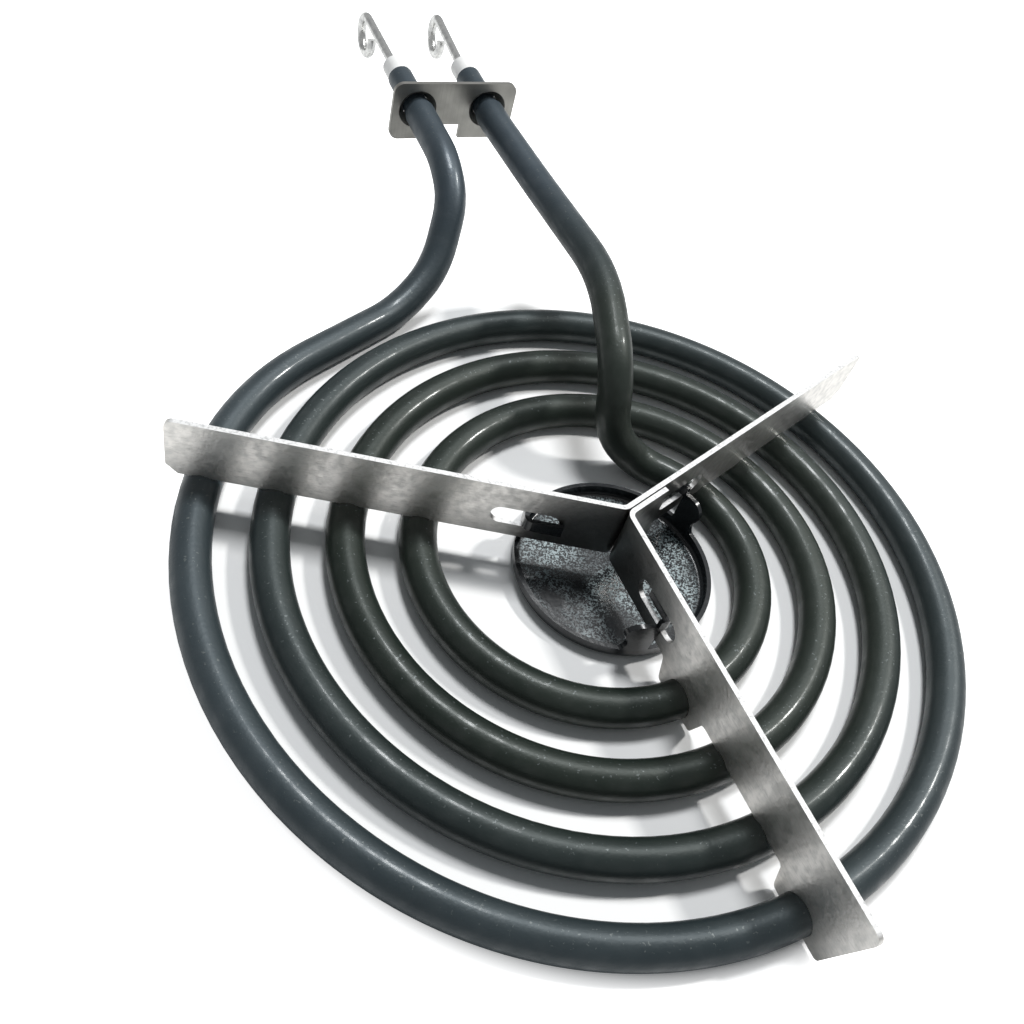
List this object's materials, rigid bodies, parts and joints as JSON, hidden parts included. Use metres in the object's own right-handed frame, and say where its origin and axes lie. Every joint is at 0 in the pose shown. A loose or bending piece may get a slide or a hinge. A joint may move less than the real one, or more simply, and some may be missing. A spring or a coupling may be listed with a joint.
{
  "type": "surface heating element",
  "caption": "Plug-in coil heating element: flat spiral of sheathed tube with rising legs, hooked terminals, spacer plate, folded three-arm bracket and centre medallion.",
  "frame": {"origin": "middle of the coil, on the flattened heating face that the element lies on", "axes": "+Z from the heating face to the bracket, so the element lies upside down as when it is taken off the cooker; +Y from the coil towards the two terminals; +X to the side of the inner leg"},
  "size_m": [0.1415, 0.2282, 0.027],
  "materials": {
    "sheath_alloy": "satin",
    "bracket_steel": "satin",
    "plate_steel": "satin",
    "medallion_enamel": "gloss",
    "pin_steel": "polished",
    "ceramic": "matte",
    "seal": "matte"
  },
  "bodies": {
    "root": {"sheath": "sheath_alloy", "outer_terminal_pin": "pin_steel", "inner_terminal_pin": "pin_steel", "outer_bushing": "ceramic", "inner_bushing": "ceramic", "outer_end_seal": "seal", "inner_end_seal": "seal", "terminal_plate": "plate_steel", "long_bracket_strip": "bracket_steel", "short_bracket_strip": "bracket_steel", "medallion": "medallion_enamel"}
  },
  "joints": []
}
